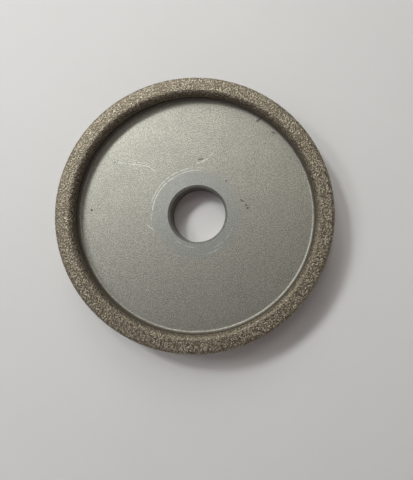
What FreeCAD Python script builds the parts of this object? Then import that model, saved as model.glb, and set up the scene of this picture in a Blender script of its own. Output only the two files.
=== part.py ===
"""Flat diamond grinding wheel with a raised, rounded working rim.

The wheel is three turned pieces that share one axis: a steel core, a thin bond ring without
diamond that sits on the core's rim seat, and the diamond rim that is sintered onto that ring.
Units are millimetres. +Z is the wheel's axis and points out of the recessed front face, and
the origin is the centre of the bore at the flat back face.
"""
import FreeCAD, Part
import Sketcher
import os

SIZES = (
    ("wheel_radius", 50.0, "outside of the diamond rim: a 100 mm wheel"),
    ("wheel_height", 12.0, "back face to the crest of the rim"),
    ("bore_radius", 10.1, "bore for a 20 mm arbor, with 0.1 mm of clearance all round"),
    ("bore_front_chamfer", 0.8, "countersink of the bore at the web"),
    ("bore_back_chamfer", 0.5, "edge break of the bore at the back face"),
    ("web_height", 7.6, "back face to the web, where the clamping flange seats"),
    ("lip_radius", 42.9, "inside of the lip that stands round the web"),
    ("lip_height", 9.2, "back face to the top of the lip"),
    ("foot_fillet", 0.8, "blend from the web up into the lip"),
    ("seat_radius", 45.0, "outside of the seat that carries the bond ring"),
    ("flange_radius", 49.5, "outside of the back flange behind the rim"),
    ("flange_height", 3.0, "thickness of the back flange"),
    ("flange_chamfer", 0.8, "outer edge of the back face"),
    ("bond_thickness", 0.6, "bond ring, everywhere on the seat"),
    ("bond_reveal", 0.2, "how far the bond ring stands back from the wheel's outside"),
    ("rim_setback", 0.25, "how far the diamond rim stands back from the lip's inside"),
    ("crest_inner_round", 2.0, "rounding from the rim's inside to its crest"),
    ("crest_outer_round", 1.8, "rounding from the crest to the rim's outside"),
)
SAME_PLACE = 1e-6


def make_sheet(doc):
    """The sheet of driving dimensions, one alias to a row, with what each one is beside it."""
    sheet = doc.addObject("Spreadsheet::Sheet", "dims")
    for row, (alias, value, meaning) in enumerate(SIZES, start=1):
        sheet.set(f"A{row}", alias)
        sheet.set(f"B{row}", str(value))
        sheet.set(f"C{row}", meaning)
        sheet.setAlias(f"B{row}", alias)
    doc.recompute()
    return sheet


def value_of(sheet, formula):
    """The number that a formula such as "lip_height + bond_thickness" gives."""
    total = 0.0
    sign = 1.0
    for word in formula.split():
        if word in ("+", "-"):
            sign = 1.0 if word == "+" else -1.0
        else:
            total += sign * sheet.get(word)
    return total


def bound(formula):
    """The same formula as FreeCAD reads it, with each alias looked up in the sheet."""
    return " ".join(word if word in ("+", "-") else f"dims.{word}" for word in formula.split())


def origin_plane(body, role):
    return next(item for item in body.Origin.OriginFeatures if item.Role == role)


def section(body, sheet, name, corners):
    """A closed, square-cornered half section. Each corner is a (radius, height) pair of formulas,
    and a height of "" is the back face. Neighbouring corners share a radius or a height."""
    sketch = body.newObject("Sketcher::SketchObject", name)
    sketch.AttachmentSupport = [(origin_plane(body, "XZ_Plane"), "")]
    sketch.MapMode = "FlatFace"
    points = []
    for radius, height in corners:
        level = value_of(sheet, height) if height else 0.0
        points.append(FreeCAD.Vector(value_of(sheet, radius), level, 0))
    count = len(corners)
    for i in range(count):
        sketch.addGeometry(Part.LineSegment(points[i], points[(i + 1) % count]), False)
    for i in range(count):
        radius, height = corners[i]
        next_radius, next_height = corners[(i + 1) % count]
        sketch.addConstraint(Sketcher.Constraint("Coincident", i, 2, (i + 1) % count, 1))
        if radius == next_radius:
            sketch.addConstraint(Sketcher.Constraint("Vertical", i))
            place = Sketcher.Constraint("DistanceX", -1, 1, i, 1, points[i].x)
            sketch.setExpression(f"Constraints[{sketch.addConstraint(place)}]", bound(radius))
        elif height:
            sketch.addConstraint(Sketcher.Constraint("Horizontal", i))
            place = Sketcher.Constraint("DistanceY", -1, 1, i, 1, points[i].y)
            sketch.setExpression(f"Constraints[{sketch.addConstraint(place)}]", bound(height))
        else:
            sketch.addConstraint(Sketcher.Constraint("Horizontal", i))
            sketch.addConstraint(Sketcher.Constraint("PointOnObject", i, 1, -1))
    return sketch


def turned_body(doc, sheet, label, corners):
    """A body of one revolved section, made the way a lathe leaves it, before its edges are broken."""
    body = doc.addObject("PartDesign::Body", label)
    body.Label = label
    body.Placement = FreeCAD.Placement()
    sketch = section(body, sheet, f"{label}_section", corners)
    turned = body.newObject("PartDesign::Revolution", f"{label}_turned")
    turned.Profile = sketch
    turned.ReferenceAxis = (sketch, ["V_Axis"])
    turned.Angle = 360
    doc.recompute()
    return body


def edge_at(sheet, feature, radius, height):
    """The name of the feature's round edge at this radius and height, both given as formulas."""
    level = value_of(sheet, height) if height else 0.0
    for number, edge in enumerate(feature.Shape.Edges, start=1):
        curve = edge.Curve
        if not isinstance(curve, Part.Circle):
            continue
        same_radius = abs(curve.Radius - value_of(sheet, radius)) < SAME_PLACE
        if same_radius and abs(curve.Center.z - level) < SAME_PLACE:
            return f"Edge{number}"
    raise RuntimeError(f"{feature.Name} has no round edge at {radius}, {height or 'back face'}")


def break_edge(doc, sheet, body, kind, size, radius, height):
    """Adds a "Fillet" or a "Chamfer" of the named size to one round edge."""
    base = body.Tip
    volume = base.Shape.Volume
    feature = body.newObject(f"PartDesign::{kind}", f"{body.Label}_{size}")
    feature.Base = (base, [edge_at(sheet, base, radius, height)])
    feature.setExpression("Radius" if kind == "Fillet" else "Size", bound(size))
    doc.recompute()
    if abs(feature.Shape.Volume - volume) < SAME_PLACE:
        raise RuntimeError(f"{feature.Name} changed nothing")


def make_wheel_core(doc, sheet):
    """The steel disc: bored web, lip round the web, seat for the rim and a flange behind it."""
    body = turned_body(doc, sheet, "wheel_core", (
        ("bore_radius", ""),
        ("flange_radius", ""),
        ("flange_radius", "flange_height"),
        ("seat_radius", "flange_height"),
        ("seat_radius", "lip_height"),
        ("lip_radius", "lip_height"),
        ("lip_radius", "web_height"),
        ("bore_radius", "web_height"),
    ))
    break_edge(doc, sheet, body, "Fillet", "foot_fillet", "lip_radius", "web_height")
    break_edge(doc, sheet, body, "Chamfer", "bore_front_chamfer", "bore_radius", "web_height")
    break_edge(doc, sheet, body, "Chamfer", "bore_back_chamfer", "bore_radius", "")
    break_edge(doc, sheet, body, "Chamfer", "flange_chamfer", "flange_radius", "")
    return body


def make_bond_ring(doc, sheet):
    """The diamond-free bond: it covers the flange's step, the seat's side and the lip's top."""
    return turned_body(doc, sheet, "bond_ring", (
        ("seat_radius", "flange_height"),
        ("wheel_radius - bond_reveal", "flange_height"),
        ("wheel_radius - bond_reveal", "flange_height + bond_thickness"),
        ("seat_radius + bond_thickness", "flange_height + bond_thickness"),
        ("seat_radius + bond_thickness", "lip_height + bond_thickness"),
        ("lip_radius", "lip_height + bond_thickness"),
        ("lip_radius", "lip_height"),
        ("seat_radius", "lip_height"),
    ))


def make_diamond_rim(doc, sheet):
    """The working layer: it wraps the bond ring and its crest is rounded on both sides."""
    body = turned_body(doc, sheet, "diamond_rim", (
        ("seat_radius + bond_thickness", "flange_height + bond_thickness"),
        ("wheel_radius", "flange_height + bond_thickness"),
        ("wheel_radius", "wheel_height"),
        ("lip_radius + rim_setback", "wheel_height"),
        ("lip_radius + rim_setback", "lip_height + bond_thickness"),
        ("seat_radius + bond_thickness", "lip_height + bond_thickness"),
    ))
    break_edge(doc, sheet, body, "Fillet", "crest_outer_round", "wheel_radius", "wheel_height")
    inside = "lip_radius + rim_setback"
    break_edge(doc, sheet, body, "Fillet", "crest_inner_round", inside, "wheel_height")
    return body


def check(doc, bodies):
    """Stops the script if anything in the document failed or a piece isn't one sound solid."""
    for item in doc.Objects:
        if "Invalid" in item.State or "Error" in item.State:
            raise RuntimeError(f"{item.Name} failed: {item.State}")
    for body in bodies:
        shape = body.Shape
        if shape.isNull() or not shape.isValid() or len(shape.Solids) != 1:
            raise RuntimeError(f"{body.Label} isn't one valid solid")


def write_steps(bodies):
    os.makedirs("parts", exist_ok=True)
    for body in bodies:
        body.Shape.exportStep(f"parts/{body.Label}.step")
        box = body.Shape.BoundBox
        print(f"{body.Label}: {body.Shape.Volume:.0f} mm3, z {box.ZMin:.2f} to {box.ZMax:.2f}")


def main():
    doc = FreeCAD.newDocument("diamond_grinding_wheel")
    sheet = make_sheet(doc)
    bodies = (
        make_wheel_core(doc, sheet),
        make_bond_ring(doc, sheet),
        make_diamond_rim(doc, sheet),
    )
    doc.recompute()
    check(doc, bodies)
    write_steps(bodies)


main()
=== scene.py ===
"""Looks for the diamond grinding wheel: its steel core, its bond ring and its gritty diamond rim.

Everything is in metres in the row frame: the wheel lies on the floor on its back face, with +Z up
its axis. The core and the bond ring are the CAD nodes with better materials. The CAD diamond rim is
replaced by a mesh of the same section whose surface is really rough, with diamond grains set in it.
"""
import math

import bpy
import numpy as np
from mathutils import Matrix, Vector
from mathutils.kdtree import KDTree


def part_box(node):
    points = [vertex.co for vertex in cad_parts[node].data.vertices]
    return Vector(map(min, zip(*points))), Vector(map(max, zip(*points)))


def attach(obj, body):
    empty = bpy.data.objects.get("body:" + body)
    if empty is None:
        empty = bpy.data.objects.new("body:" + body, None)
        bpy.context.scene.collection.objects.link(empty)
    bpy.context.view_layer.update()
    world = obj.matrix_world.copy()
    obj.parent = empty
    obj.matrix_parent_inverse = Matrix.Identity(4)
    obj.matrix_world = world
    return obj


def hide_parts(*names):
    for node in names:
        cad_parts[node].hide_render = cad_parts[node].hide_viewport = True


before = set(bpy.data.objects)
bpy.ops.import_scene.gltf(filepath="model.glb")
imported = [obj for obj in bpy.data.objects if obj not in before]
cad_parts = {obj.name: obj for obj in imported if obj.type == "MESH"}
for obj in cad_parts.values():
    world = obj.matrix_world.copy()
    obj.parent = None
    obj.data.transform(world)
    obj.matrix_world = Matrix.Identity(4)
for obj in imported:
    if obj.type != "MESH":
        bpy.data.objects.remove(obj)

MM = 0.001
TURN = 2 * math.pi
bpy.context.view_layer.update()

# Section of the rim, with the same rounds as the CAD solid.
CREST_INNER_ROUND = 2.0 * MM
CREST_OUTER_ROUND = 1.8 * MM

# The rim's mesh, and the depth of its relief.
GRIT_PITCH = 0.25 * MM
GRIT_COLUMNS = 1260
GRIT_DEPTH = 0.14 * MM

# Levels in the relief, in shares of its depth below the CAD surface.
BOND_LEVEL = 0.78
BOND_UNEVENNESS = 0.06
GRAIN_LEAN = 0.25
GRAIN_FLANK = 2.2

# The diamond grains: how far apart, how large, and which of them show as crystals.
GRAIN_SPACING = 0.52 * MM
GRAIN_JITTER = 0.42
GRAIN_REACH = (0.2 * MM, 0.36 * MM)
CRYSTAL_LEAST_TALL = 0.45
CRYSTAL_SHARE = 0.75

# How far out a clamping flange has rubbed the web.
FLANGE_MARK_RADIUS = 17.5 * MM


# ---------------------------------------------------------------- sizes read from the CAD nodes

def radii(node, above=-1.0):
    """How far from the wheel's axis each corner of a CAD node is, above this height."""
    corners = [point.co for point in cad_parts[node].data.vertices]
    return [math.hypot(corner.x, corner.y) for corner in corners if corner.z > above]


def top_face_radii(node):
    """Inner and outer radius of a CAD node's top face."""
    found = radii(node, above=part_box(node)[1].z - 0.01 * MM)
    return min(found), max(found)


# ---------------------------------------------------------------- node helpers

def new_material(name):
    material = bpy.data.materials.new(name)
    material.use_nodes = True
    tree = material.node_tree
    shader = tree.nodes["Principled BSDF"]
    return material, tree, shader


def link_or_set(tree, socket, value):
    if isinstance(value, bpy.types.NodeSocket):
        tree.links.new(value, socket)
    else:
        socket.default_value = value


def math_node(tree, operation, a, b=0.0, c=0.0, clamp=False):
    node = tree.nodes.new("ShaderNodeMath")
    node.operation = operation
    node.use_clamp = clamp
    for socket, value in zip(node.inputs, (a, b, c)):
        link_or_set(tree, socket, value)
    return node.outputs[0]


def vector_node(tree, operation, a, b=(0, 0, 0)):
    node = tree.nodes.new("ShaderNodeVectorMath")
    node.operation = operation
    link_or_set(tree, node.inputs[0], a)
    link_or_set(tree, node.inputs[1], b)
    return node


def noise(tree, coords, size, detail=3.0, roughness=0.55):
    """Noise whose blobs are about this size in metres, from 0 to 1."""
    node = tree.nodes.new("ShaderNodeTexNoise")
    node.inputs["Scale"].default_value = 1.0 / size
    node.inputs["Detail"].default_value = detail
    node.inputs["Roughness"].default_value = roughness
    tree.links.new(coords, node.inputs["Vector"])
    return node.outputs["Fac"]


def ramp(tree, factor, *stops):
    """A colour ramp with (place, colour) stops."""
    node = tree.nodes.new("ShaderNodeValToRGB")
    elements = node.color_ramp.elements
    while len(elements) < len(stops):
        elements.new(0.5)
    for element, (place, colour) in zip(elements, stops):
        element.position = place
        element.color = (*colour, 1.0)
    tree.links.new(factor, node.inputs["Fac"])
    return node.outputs["Color"]


def mix_colour(tree, factor, a, b):
    """Colour a where factor is 0 and colour b where it is 1."""
    node = tree.nodes.new("ShaderNodeMix")
    node.data_type = "RGBA"
    link_or_set(tree, node.inputs["Factor"], factor)
    link_or_set(tree, node.inputs["A"], a if isinstance(a, bpy.types.NodeSocket) else (*a, 1.0))
    link_or_set(tree, node.inputs["B"], b if isinstance(b, bpy.types.NodeSocket) else (*b, 1.0))
    return node.outputs["Result"]


def map_range(tree, value, low, high, to_low=0.0, to_high=1.0):
    """value from low..high to to_low..to_high, held inside and eased at both ends."""
    node = tree.nodes.new("ShaderNodeMapRange")
    node.interpolation_type = "SMOOTHSTEP"
    for name, number in (("From Min", low), ("From Max", high), ("To Min", to_low), ("To Max", to_high)):
        node.inputs[name].default_value = number
    link_or_set(tree, node.inputs["Value"], value)
    return node.outputs["Result"]


def bump(tree, height, distance, strength=1.0):
    node = tree.nodes.new("ShaderNodeBump")
    node.inputs["Distance"].default_value = distance
    node.inputs["Strength"].default_value = strength
    link_or_set(tree, node.inputs["Height"], height)
    return node.outputs["Normal"]


def object_coords(tree):
    return tree.nodes.new("ShaderNodeTexCoord").outputs["Object"]


def flat_coords(tree, coords):
    """The coordinates with no height, and the distance from the wheel's axis."""
    apart = tree.nodes.new("ShaderNodeSeparateXYZ")
    tree.links.new(coords, apart.inputs[0])
    level = tree.nodes.new("ShaderNodeCombineXYZ")
    tree.links.new(apart.outputs["X"], level.inputs["X"])
    tree.links.new(apart.outputs["Y"], level.inputs["Y"])
    flat = level.outputs[0]
    return flat, vector_node(tree, "LENGTH", flat).outputs["Value"]


def attribute(tree, name):
    node = tree.nodes.new("ShaderNodeAttribute")
    node.attribute_name = name
    return node.outputs["Fac"]


# ---------------------------------------------------------------- materials

def blend_marks(tree, marks):
    """The strongest of several 0 to 1 masks at every point."""
    strongest = marks[0]
    for mark in marks[1:]:
        strongest = math_node(tree, "MAXIMUM", strongest, mark)
    return strongest


def speck(tree, flat, x, y, size):
    """A round spot at (x, y) mm, about this many mm across."""
    apart = vector_node(tree, "DISTANCE", flat, (x * MM, y * MM, 0)).outputs["Value"]
    return map_range(tree, apart, 0.6 * size * MM, 0.3 * size * MM)


def scratch(tree, flat, corners, width):
    """A line through these (x, y) corners in mm, this many mm wide."""
    marks = []
    for start, end in zip(corners, corners[1:]):
        start, end = Vector((*start, 0)) * MM, Vector((*end, 0)) * MM
        along = end - start
        from_start = vector_node(tree, "SUBTRACT", flat, start).outputs["Vector"]
        share = vector_node(tree, "DOT_PRODUCT", from_start, along / along.length_squared).outputs["Value"]
        share = math_node(tree, "ADD", share, 0.0, clamp=True)
        nearest = vector_node(tree, "SCALE", tuple(along))
        tree.links.new(share, nearest.inputs["Scale"])
        apart = vector_node(tree, "DISTANCE", from_start, nearest.outputs["Vector"]).outputs["Value"]
        marks.append(map_range(tree, apart, 0.9 * width * MM, 0.2 * width * MM))
    return blend_marks(tree, marks)


def rubbed_arc(tree, flat, centre, radius, width, middle, span):
    """Part of a circle: centre (x, y), radius and width in mm, its middle and its span in degrees."""
    offset = vector_node(tree, "SUBTRACT", flat, (centre[0] * MM, centre[1] * MM, 0)).outputs["Vector"]
    far = vector_node(tree, "LENGTH", offset).outputs["Value"]
    apart = math_node(tree, "ABSOLUTE", math_node(tree, "SUBTRACT", far, radius * MM))
    ring = map_range(tree, apart, 0.9 * width * MM, 0.2 * width * MM)
    unit = vector_node(tree, "NORMALIZE", offset).outputs["Vector"]
    toward = (math.cos(math.radians(middle)), math.sin(math.radians(middle)), 0)
    facing = vector_node(tree, "DOT_PRODUCT", unit, toward).outputs["Value"]
    edge, full = math.cos(math.radians(span / 2)), math.cos(math.radians(span / 3))
    return math_node(tree, "MULTIPLY", ring, map_range(tree, facing, edge, full))


def bright_marks(tree, flat):
    """Shining scratches on the web, and the arcs that a clamping flange has rubbed about the bore."""
    return blend_marks(tree, [
        scratch(tree, flat, ((-29, 19), (-21, 18.2), (-17.9, 17.5), (-15.8, 15.9)), 0.26),
        scratch(tree, flat, ((-0.4, 19.0), (1.4, 19.6), (3.6, 20.8)), 0.36),
        scratch(tree, flat, ((3.9, 21.5), (5.8, 23.2)), 0.22),
        scratch(tree, flat, ((-18.4, -3.9), (-16.1, -5.5)), 0.26),
        scratch(tree, flat, ((-17.0, 0.4), (-16.8, -2.2)), 0.24),
        rubbed_arc(tree, flat, (-0.2, 0.3), 17.0, 0.30, 125, 100),
        rubbed_arc(tree, flat, (-0.5, 0.0), 16.0, 0.36, 150, 70),
        rubbed_arc(tree, flat, (0.2, 0.1), 16.3, 0.22, 112, 60),
        rubbed_arc(tree, flat, (0.0, 0.0), 14.8, 0.20, 292, 34),
        rubbed_arc(tree, flat, (0.1, 0.1), 13.6, 0.14, 318, 50),
        rubbed_arc(tree, flat, (0.0, 0.2), 12.4, 0.14, 250, 40),
    ])


def dark_marks(tree, flat):
    """Dark specks and nicks on the web."""
    return blend_marks(tree, [
        speck(tree, flat, -38.4, 1.4, 1.0),
        speck(tree, flat, -30.4, 19.0, 0.5),
        speck(tree, flat, 10.3, 12.5, 0.7),
        scratch(tree, flat, ((15.7, 5.5), (16.6, 4.9)), 0.4),
        speck(tree, flat, 18.3, 2.4, 0.95),
        speck(tree, flat, 17.7, 3.5, 0.8),
        scratch(tree, flat, ((21.6, 35.0), (22.9, 35.9)), 0.6),
        scratch(tree, flat, ((0.2, 20.4), (1.6, 20.6)), 0.5),
        scratch(tree, flat, ((27.4, 30.9), (28.3, 30.5)), 0.4),
    ])


def core_steel():
    """Matte machined steel: a fine grain, a rubbed zone round the bore and old handling marks."""
    material, tree, shader = new_material("core_steel_matte")
    coords = object_coords(tree)
    flat, radius = flat_coords(tree, coords)

    fine = noise(tree, coords, 0.38 * MM, detail=2.0, roughness=0.6)
    grain = noise(tree, coords, 0.8 * MM, detail=4.0, roughness=0.75)
    clouds = noise(tree, coords, 9 * MM, detail=4.0, roughness=0.6)
    speckle = math_node(tree, "MULTIPLY_ADD", fine, 0.72, math_node(tree, "MULTIPLY", grain, 0.28))
    colour = ramp(
        tree, speckle,
        (0.30, (0.165, 0.159, 0.138)),
        (0.50, (0.382, 0.378, 0.330)),
        (0.70, (0.67, 0.655, 0.585)),
    )
    colour = mix_colour(tree, map_range(tree, clouds, 0.4, 0.7, 0.0, 0.2), colour, (0.33, 0.325, 0.29))

    rubbed = map_range(tree, radius, FLANGE_MARK_RADIUS, FLANGE_MARK_RADIUS - 3 * MM)
    colour = mix_colour(tree, math_node(tree, "MULTIPLY", rubbed, 0.4), colour, (0.315, 0.34, 0.35))
    wandering = noise(tree, coords, 1.5 * MM, detail=2.0)
    broken = map_range(tree, wandering, 0.38, 0.55)
    bright = bright_marks(tree, flat)
    bright = math_node(tree, "MULTIPLY", bright, math_node(tree, "MULTIPLY_ADD", broken, 0.7, 0.15))
    colour = mix_colour(tree, bright, colour, (0.72, 0.73, 0.70))
    dark = math_node(tree, "MULTIPLY", dark_marks(tree, flat), 0.75)
    colour = mix_colour(tree, dark, colour, (0.05, 0.052, 0.055))
    bore = min(radii("wheel_core"))
    lip = top_face_radii("wheel_core")[0]
    wall = blend_marks(tree, [
        map_range(tree, radius, bore + 0.15 * MM, bore + 0.02 * MM),
        map_range(tree, radius, lip - 0.6 * MM, lip - 0.15 * MM),
    ])
    colour = mix_colour(tree, math_node(tree, "MULTIPLY", wall, 0.7), colour, (0.17, 0.142, 0.125))
    tree.links.new(colour, shader.inputs["Base Color"])

    roughness = map_range(tree, clouds, 0.3, 0.7, 0.51, 0.55)
    foot = map_range(tree, radius, lip - 1.1 * MM, lip - 0.7 * MM)
    roughness = math_node(tree, "MULTIPLY_ADD", foot, 0.08, roughness)
    roughness = math_node(tree, "MULTIPLY_ADD", bright, 0.1, roughness)
    tree.links.new(roughness, shader.inputs["Roughness"])
    tree.links.new(math_node(tree, "MULTIPLY_ADD", bright, -0.6, 0.92), shader.inputs["Metallic"])

    rings = math_node(tree, "SINE", math_node(tree, "MULTIPLY", radius, TURN / (0.22 * MM)))
    surface = math_node(tree, "MULTIPLY_ADD", rings, 0.05, speckle)
    tree.links.new(bump(tree, surface, 0.03 * MM, 0.8), shader.inputs["Normal"])
    return material


def bond_metal():
    """Dull dark bronze, pressed and never machined."""
    material, tree, shader = new_material("bond_metal_dull")
    coords = object_coords(tree)
    mottle = noise(tree, coords, 0.5 * MM, detail=4.0)
    colour = ramp(tree, mottle, (0.3, (0.045, 0.036, 0.028)), (0.7, (0.12, 0.1, 0.075)))
    tree.links.new(colour, shader.inputs["Base Color"])
    shader.inputs["Metallic"].default_value = 0.5
    shader.inputs["Roughness"].default_value = 0.6
    tree.links.new(bump(tree, mottle, 0.05 * MM), shader.inputs["Normal"])
    return material


def diamond_bond():
    """Khaki brown bond, paler on its high spots, with painted shade in its pits and on the rim's inner slope.
    """
    material, tree, shader = new_material("diamond_bond_khaki")
    coords = object_coords(tree)
    relief = attribute(tree, "relief")
    fine = noise(tree, coords, 0.24 * MM, detail=2.0, roughness=0.6)
    patches = noise(tree, coords, 6 * MM, detail=3.0)
    height = math_node(tree, "MULTIPLY_ADD", math_node(tree, "SUBTRACT", fine, 0.5), 0.8, relief)
    # Painted shade: the colour ramp follows the relief's depth, darkest in the pits and palest on the tallest
    # grains.
    colour = ramp(
        tree, height,
        (0.10, (0.065, 0.052, 0.039)),
        (0.45, (0.262, 0.23, 0.17)),
        (0.85, (0.50, 0.455, 0.352)),
    )
    colour = mix_colour(tree, map_range(tree, patches, 0.35, 0.7, 0.0, 0.3), colour, (0.2, 0.15, 0.1))
    radius = flat_coords(tree, coords)[1]
    crest = min(radii("diamond_rim")) + CREST_INNER_ROUND
    # Painted shade: the colour darkens towards dark brown on the rim's inner slope, just inside the crest.
    inner_slope_shade = map_range(tree, radius, crest + 0.05 * MM, crest - 0.55 * MM, 0.0, 0.35)
    colour = mix_colour(tree, inner_slope_shade, colour, (0.07, 0.052, 0.038))
    tree.links.new(colour, shader.inputs["Base Color"])
    shader.inputs["Metallic"].default_value = 0.72
    tree.links.new(map_range(tree, fine, 0.3, 0.7, 0.42, 0.56), shader.inputs["Roughness"])
    tree.links.new(bump(tree, fine, 0.06 * MM, 0.6), shader.inputs["Normal"])
    return material


def diamond_grain():
    """Synthetic diamond: small glossy crystals from straw yellow to smoky brown."""
    material, tree, shader = new_material("diamond_grain_straw")
    coords = object_coords(tree)
    tone = attribute(tree, "tone")
    cloud = noise(tree, coords, 0.2 * MM, detail=2.0)
    shade = math_node(tree, "MULTIPLY_ADD", math_node(tree, "SUBTRACT", cloud, 0.5), 0.3, tone)
    colour = ramp(
        tree, shade,
        (0.0, (0.16, 0.13, 0.08)),
        (0.5, (0.42, 0.38, 0.27)),
        (1.0, (0.58, 0.54, 0.43)),
    )
    tree.links.new(colour, shader.inputs["Base Color"])
    tree.links.new(map_range(tree, cloud, 0.3, 0.7, 0.2, 0.4), shader.inputs["Roughness"])
    shader.inputs["IOR"].default_value = 2.0
    tree.links.new(bump(tree, cloud, 0.02 * MM, 0.5), shader.inputs["Normal"])
    return material


def floor_paint():
    """Matte pale paint with the faintest clouding."""
    material, tree, shader = new_material("studio_floor")
    coords = object_coords(tree)
    cloud = noise(tree, coords, 60 * MM, detail=3.0)
    colour = ramp(tree, cloud, (0.3, (0.78, 0.78, 0.77)), (0.7, (0.80, 0.80, 0.79)))
    tree.links.new(colour, shader.inputs["Base Color"])
    shader.inputs["Roughness"].default_value = 0.7
    return material


# ---------------------------------------------------------------- the diamond rim

def mesh_object(name, points, faces, material):
    mesh = bpy.data.meshes.new(name)
    mesh.from_pydata(points, [], faces)
    mesh.materials.append(material)
    mesh.update()
    piece = bpy.data.objects.new(name, mesh)
    bpy.context.scene.collection.objects.link(piece)
    return piece


def paint_points(piece, name, values):
    layer = piece.data.attributes.new(name, "FLOAT", "POINT")
    layer.data.foreach_set("value", np.asarray(values, dtype=np.float32))


def turned(section, angles):
    """Rows of (outward, upward) swept round the wheel's axis: one ring of x, y, z points for each."""
    outward, upward = section[:, :1], section[:, 1:]
    return np.stack((outward * np.cos(angles), outward * np.sin(angles), upward + 0 * angles), axis=-1)


def ring_faces(rings, columns, closed=False):
    """The faces between neighbouring rings of points. Closed joins the last ring to the first."""
    faces = []
    for ring in range(rings if closed else rings - 1):
        here, below = ring * columns, (ring + 1) % rings * columns
        for column in range(columns):
            beside = (column + 1) % columns
            faces.append((here + column, below + column, below + beside, here + beside))
    return faces


def straight(start, end, normal):
    """Points a pitch apart from start to just before end, and the normal at each."""
    count = round(math.dist(start, end) / GRIT_PITCH)
    shares = np.arange(count)[:, None] / count
    return np.array(start) + shares * (np.array(end) - np.array(start)), np.tile(normal, (count, 1))


def quarter_round(centre, radius, first_angle):
    """Points a pitch apart on a quarter circle, clockwise from this angle, and the normal at each."""
    count = round(radius * math.pi / 2 / GRIT_PITCH)
    angles = np.radians(first_angle - 90 * np.arange(count) / count)
    normals = np.column_stack((np.cos(angles), np.sin(angles)))
    return np.array(centre) + radius * normals, normals


def rim_path():
    """The rim's half section from where it meets the bond ring inside, over the crest, down to its
    outer edge. Gives (radius, height), the outward normal and the distance along the path, one row a point."""
    inside = min(radii("diamond_rim"))
    low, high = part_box("diamond_rim")
    outside, top, bottom = high.x, high.z, low.z
    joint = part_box("bond_ring")[1].z
    crest_start, crest_end = inside + CREST_INNER_ROUND, outside - CREST_OUTER_ROUND
    inner_shoulder, outer_shoulder = top - CREST_INNER_ROUND, top - CREST_OUTER_ROUND
    legs = (
        straight((inside, joint), (inside, inner_shoulder), (-1.0, 0.0)),
        quarter_round((crest_start, inner_shoulder), CREST_INNER_ROUND, 180),
        straight((crest_start, top), (crest_end, top), (0.0, 1.0)),
        quarter_round((crest_end, outer_shoulder), CREST_OUTER_ROUND, 90),
        straight((outside, outer_shoulder), (outside, bottom), (1.0, 0.0)),
        (np.array([(outside, bottom)]), np.array([(1.0, 0.0)])),
    )
    places, normals = (np.concatenate(rows) for rows in zip(*legs))
    along = np.concatenate(([0], np.cumsum(np.linalg.norm(np.diff(places, axis=0), axis=1))))
    return places, normals, along


def scatter_grains(places, normals, along, random):
    """Grain sites on a jittered grid over the rim's surface: each one's position and outward normal."""
    rows = int(along[-1] / GRAIN_SPACING)
    sites, facing = [], []
    for row in range(rows):
        girth = TURN * np.interp(along[-1] * (row + 0.5) / rows, along, places[:, 0])
        count = int(girth / GRAIN_SPACING)
        jitter = random.uniform(-GRAIN_JITTER, GRAIN_JITTER, (count, 2))
        far = (row + 0.5 + jitter[:, 0]) * along[-1] / rows
        angle = (np.arange(count) + 0.5 * (row % 2) + jitter[:, 1]) * TURN / count
        radius = np.interp(far, along, places[:, 0])
        height = np.interp(far, along, places[:, 1])
        out = np.interp(far, along, normals[:, 0])
        up = np.interp(far, along, normals[:, 1])
        size = np.hypot(out, up)
        sites.append(np.column_stack((radius * np.cos(angle), radius * np.sin(angle), height)))
        facing.append(np.column_stack((out * np.cos(angle), out * np.sin(angle), up)) / size[:, None])
    return np.concatenate(sites), np.concatenate(facing)


def relief_depths(points, tree, traits, random):
    """How far each point stands below the CAD surface, from 0 on the tallest grains to GRIT_DEPTH."""
    reach, tall, tilt = traits["reach"], traits["tall"], traits["tilt"]
    bond = BOND_LEVEL + random.normal(0, BOND_UNEVENNESS, len(points))
    depths = np.empty(len(points))
    for i, point in enumerate(points):
        depth = bond[i]
        for place, index, distance in tree.find_n(point, 3):
            edge = (reach[index] - distance) / reach[index]
            if edge <= 0:
                continue
            lean = float(np.dot(tilt[index], point - np.array(place))) / reach[index]
            top = 1.0 - tall[index] + GRAIN_LEAN * lean
            depth = min(depth, max(top, bond[i] - GRAIN_FLANK * tall[index] * edge))
        depths[i] = depth
    return np.clip(depths, 0.0, 1.0) * GRIT_DEPTH


def diamond_rim(random):
    """The rim's rough surface, closed by two hidden rings where it sits on the bond ring."""
    places, normals, along = rim_path()
    sites, facing = scatter_grains(places, normals, along, random)
    tree = KDTree(len(sites))
    for index, site in enumerate(sites):
        tree.insert(site, index)
    tree.balance()
    count = len(sites)
    traits = {
        "reach": random.uniform(*GRAIN_REACH, count),
        "tall": random.uniform(0.25, 1.0, count),
        "tilt": random.normal(0, 1, (count, 3)),
    }
    angles = np.arange(GRIT_COLUMNS) * TURN / GRIT_COLUMNS
    surface, outward = turned(places, angles), turned(normals, angles)
    depths = relief_depths(surface.reshape(-1, 3), tree, traits, random).reshape(len(places), -1)
    from_end = np.minimum(along, along[-1] - along)[:, None]
    depths = depths * np.clip(from_end / (2 * GRIT_PITCH), 0, 1)

    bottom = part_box("diamond_rim")[0].z
    seat_radius = top_face_radii("bond_ring")[1]
    seat = np.array(((seat_radius, bottom), (seat_radius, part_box("bond_ring")[1].z)))
    rings = np.concatenate((surface - outward * depths[..., None], turned(seat, angles)))
    faces = ring_faces(len(rings), GRIT_COLUMNS, closed=True)
    rim = mesh_object("diamond_rim_grit", rings.reshape(-1, 3).tolist(), faces, diamond_bond())
    relief = np.concatenate((1 - depths / GRIT_DEPTH, np.ones((len(seat), GRIT_COLUMNS))))
    paint_points(rim, "relief", relief.reshape(-1))
    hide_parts("diamond_rim")
    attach(rim, "root")
    return sites, facing, traits


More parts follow.
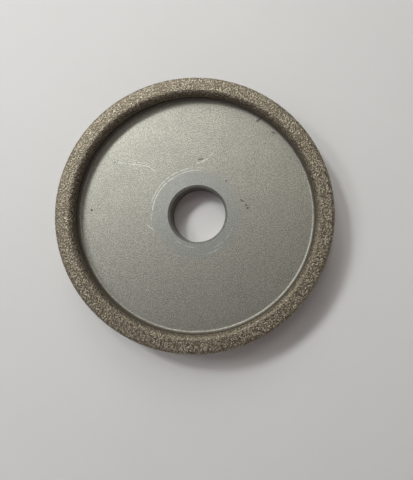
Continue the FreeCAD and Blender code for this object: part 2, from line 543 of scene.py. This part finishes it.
def diamond_grains(sites, facing, traits, random):
    """One mesh of loose-looking crystals, each an octahedron turned its own way and set in the bond."""
    kept = random.uniform(0, 1, len(sites)) < CRYSTAL_SHARE
    chosen = np.flatnonzero((traits["tall"] > CRYSTAL_LEAST_TALL) & kept)
    octahedron = np.array(((1, 0, 0), (-1, 0, 0), (0, 1, 0), (0, -1, 0), (0, 0, 1), (0, 0, -1)), dtype=float)
    sides = ((0, 2, 4), (2, 1, 4), (1, 3, 4), (3, 0, 4), (2, 0, 5), (1, 2, 5), (3, 1, 5), (0, 3, 5))
    points, faces, tones = [], [], []
    for index in chosen:
        size = traits["reach"][index] * random.uniform(0.55, 0.85)
        turn = Matrix.Rotation(random.uniform(0, TURN), 3, Vector(random.normal(0, 1, 3)))
        shape = octahedron * random.uniform(0.75, 1.2, 3) @ np.array(turn) * size
        reach = float((shape @ facing[index]).max())
        sunk = (1.0 - traits["tall"][index]) * 0.5 * GRIT_DEPTH + 0.02 * MM
        centre = sites[index] - facing[index] * (reach + sunk)
        start = len(points)
        points.extend((shape + centre).tolist())
        faces.extend([(a + start, b + start, c + start) for a, b, c in sides])
        tones.extend([random.uniform(0, 1)] * len(octahedron))
    grains = mesh_object("diamond_grains", points, faces, diamond_grain())
    paint_points(grains, "tone", tones)
    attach(grains, "root")


# ---------------------------------------------------------------- floor, light and camera

def studio_floor():
    """A pale floor that curves up into a backdrop all round."""
    flat, bend, wall = 0.9, 0.35, 1.2
    bend_steps, sides = 8, 96
    section = [(flat + bend, wall)]
    for step in range(bend_steps + 1):
        angle = math.pi / 2 * (1 - step / bend_steps)
        section.append((flat + bend * math.sin(angle), bend * (1 - math.cos(angle))))
    section.append((0.0, 0.0))
    points = turned(np.array(section), np.arange(sides) * TURN / sides).reshape(-1, 3).tolist()
    floor = mesh_object("studio_floor", points, ring_faces(len(section), sides), floor_paint())
    for face in floor.data.polygons:
        face.use_smooth = True


def soft_light(name, azimuth, elevation, distance, size, power):
    """A round soft light aimed at the wheel, from this azimuth in degrees (0 along +X, 90 along +Y)
    and this elevation. power is in watts for red, green and blue."""
    across, rise = math.radians(azimuth), math.radians(elevation)
    toward = Vector((math.cos(across) * math.cos(rise), math.sin(across) * math.cos(rise), math.sin(rise)))
    lamp = bpy.data.lights.new(name, "AREA")
    lamp.shape = "DISK"
    lamp.size = size
    lamp.energy = max(power)
    lamp.color = [share / max(power) for share in power]
    light = bpy.data.objects.new(name, lamp)
    light.location = toward * distance
    light.rotation_euler = (-toward).to_track_quat("-Z", "Y").to_euler()
    bpy.context.scene.collection.objects.link(light)


def room_light(strength):
    """A faint even light from everywhere."""
    world = bpy.data.worlds.new("room")
    world.use_nodes = True
    background = world.node_tree.nodes["Background"]
    background.inputs["Color"].default_value = (1.0, 1.0, 1.0, 1.0)
    background.inputs["Strength"].default_value = strength
    bpy.context.scene.world = world


def overhead_camera():
    """Close above the wheel and a little to its lower right, aimed almost straight down. The shift
    keeps the wheel left of the line of sight, as it is framed."""
    data = bpy.data.cameras.new("camera")
    data.sensor_width = 36.0
    data.lens = 28.5
    data.shift_x = -0.125
    camera = bpy.data.objects.new("camera", data)
    place = Vector((22.0, -17.7, 146.4)) * MM
    aim = Vector((25.4, -8.9, 0.0)) * MM
    back = (place - aim).normalized()
    right = Vector((0, 1, 0)).cross(back).normalized()
    up = back.cross(right)
    turn = Matrix((right, up, back)).transposed()
    camera.matrix_world = Matrix.Translation(place) @ turn.to_4x4()
    bpy.context.scene.collection.objects.link(camera)
    bpy.context.scene.camera = camera


def main():
    random = np.random.default_rng(11)
    for node, material in (("wheel_core", core_steel()), ("bond_ring", bond_metal())):
        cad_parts[node].material_slots[0].material = material
    sites, facing, traits = diamond_rim(random)
    diamond_grains(sites, facing, traits, random)
    studio_floor()
    soft_light("key", 136, 45.3, 0.8, 0.13, (2.05, 2.1, 2.07))
    soft_light("key_upper", 113, 45, 0.8, 0.16, (0.66, 0.67, 0.67))
    soft_light("key_left", 159, 43, 0.8, 0.16, (0.85, 0.87, 0.88))
    soft_light("top_low", 93, 32, 0.8, 0.35, (1.1, 1.09, 1.06))
    soft_light("top_high", 88, 62, 1.0, 0.3, (0.74, 0.7, 0.65))
    soft_light("overhead", 45, 72, 1.0, 0.3, (0.24, 0.21, 0.18))
    soft_light("left_high", 182, 48, 1.0, 0.4, (0.55, 0.5, 0.52))
    soft_light("fill_right", 325, 45, 1.0, 0.8, (0.14, 0.08, 0.09))
    soft_light("fill_front", 262, 45, 1.0, 0.8, (0.24, 0.18, 0.2))
    room_light(0.03)
    overhead_camera()
    bpy.context.scene.view_settings.view_transform = "Standard"


main()
